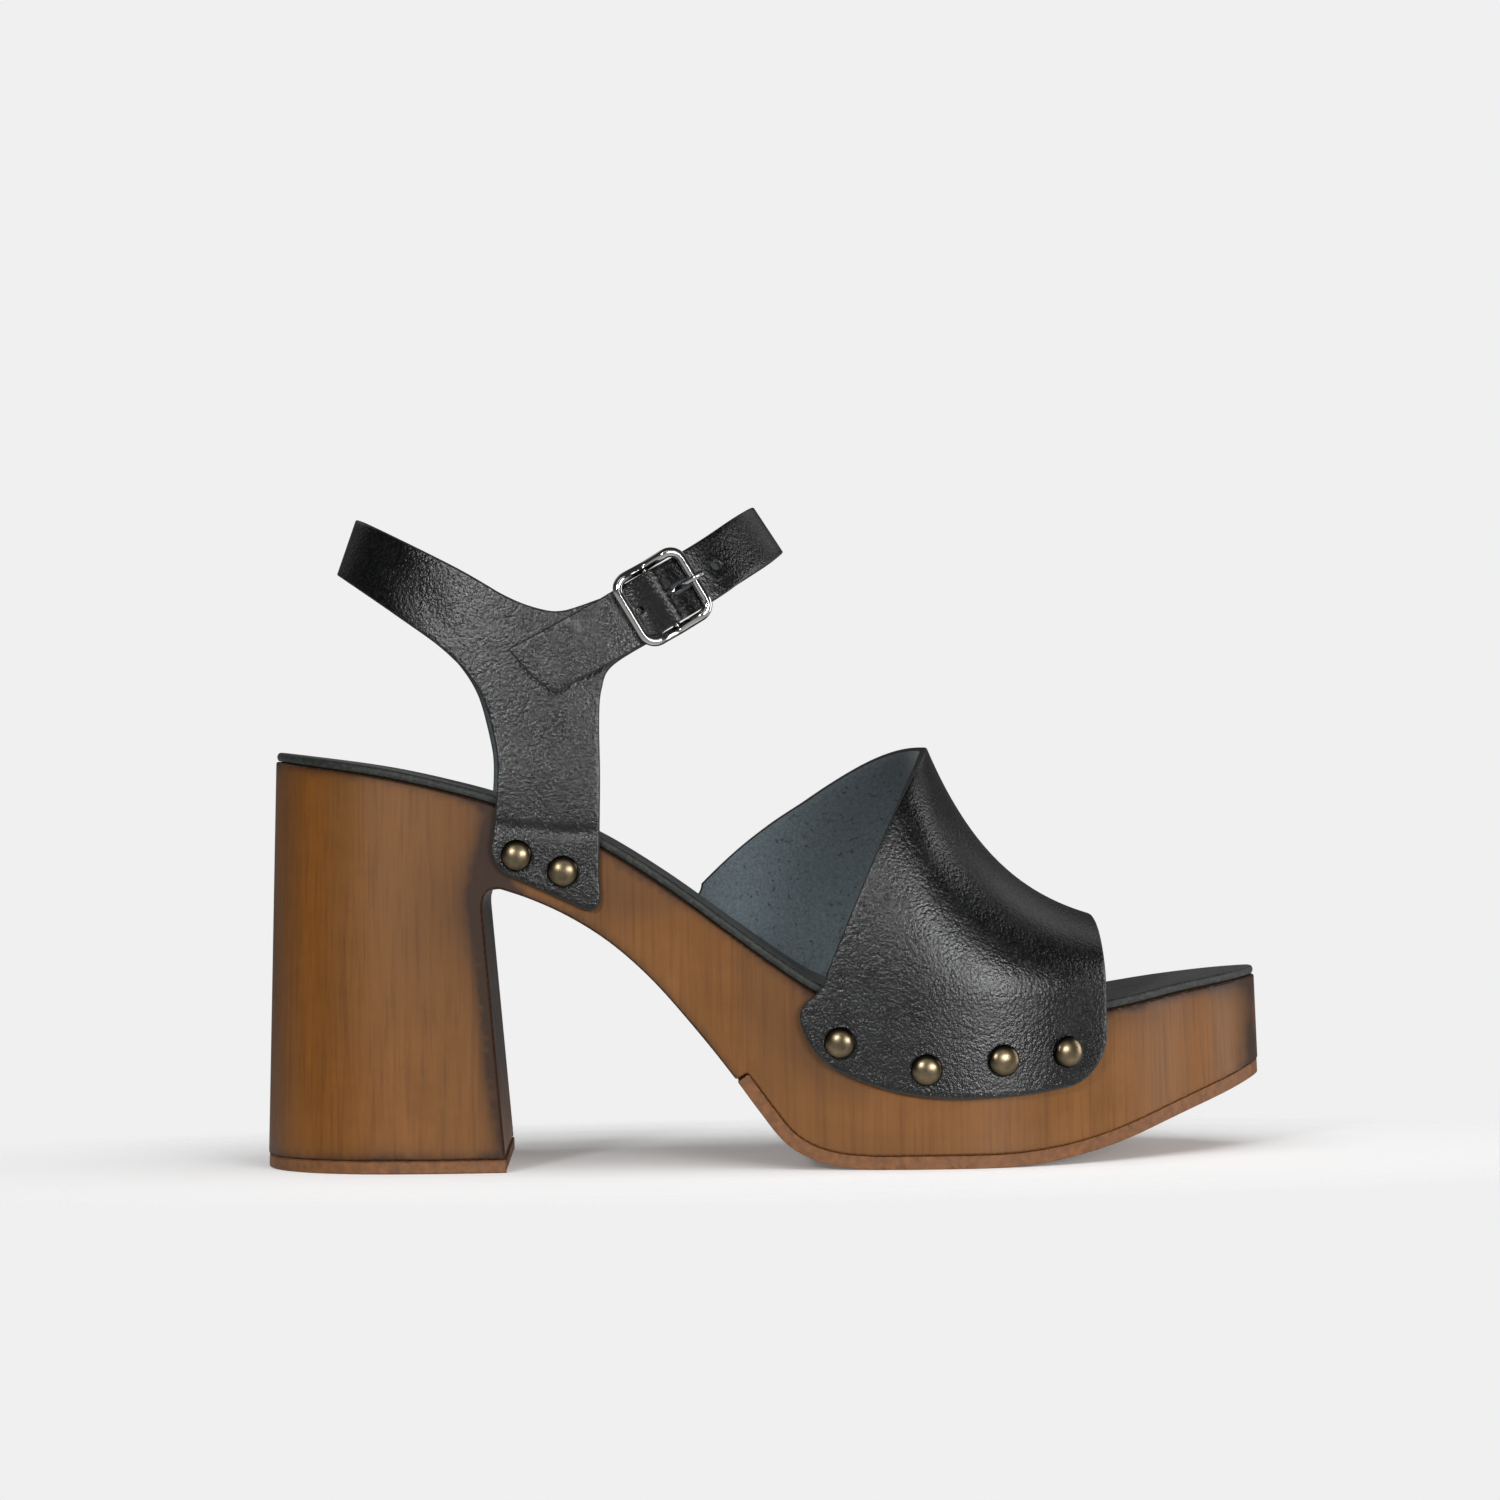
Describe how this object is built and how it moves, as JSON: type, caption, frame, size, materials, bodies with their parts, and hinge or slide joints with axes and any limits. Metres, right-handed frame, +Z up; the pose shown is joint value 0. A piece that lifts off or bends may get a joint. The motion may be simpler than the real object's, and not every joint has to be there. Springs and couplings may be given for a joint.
{
  "type": "platform clog sandal",
  "caption": "Right high-heeled clog sandal: wood platform, closed leather vamp nailed to its sides, and a buckled Y-shaped ankle strap.",
  "frame": {"origin": "on the floor, under the middle of the heel", "axes": "+X towards the toe, +Y towards the inner side of the foot, +Z up"},
  "size_m": [0.2337, 0.0944, 0.1527],
  "materials": {
    "stained_wood": "stained, darkened at its edges, satin",
    "tread_rubber": "brown, matt",
    "footbed_leather": "smooth black, matt",
    "upper_leather": "fine grained black, semi-matt",
    "buckle_metal": "polished",
    "nail_metal": "antique, polished dome"
  },
  "bodies": {
    "root": {"clog_base": "stained_wood", "outsole": "tread_rubber", "heel_top_piece": "tread_rubber", "insole": "footbed_leather", "vamp": "upper_leather", "ankle_strap": "upper_leather", "buckle_frame": "buckle_metal", "buckle_prong": "buckle_metal", "vamp_nail_lateral_1": "nail_metal", "vamp_nail_lateral_2": "nail_metal", "vamp_nail_lateral_3": "nail_metal", "vamp_nail_lateral_4": "nail_metal", "vamp_nail_medial_1": "nail_metal", "vamp_nail_medial_2": "nail_metal", "vamp_nail_medial_3": "nail_metal", "vamp_nail_medial_4": "nail_metal", "vamp_nail_medial_5": "nail_metal", "quarter_nail_lateral_1": "nail_metal", "quarter_nail_lateral_2": "nail_metal", "quarter_nail_medial_1": "nail_metal", "quarter_nail_medial_2": "nail_metal"}
  },
  "joints": []
}
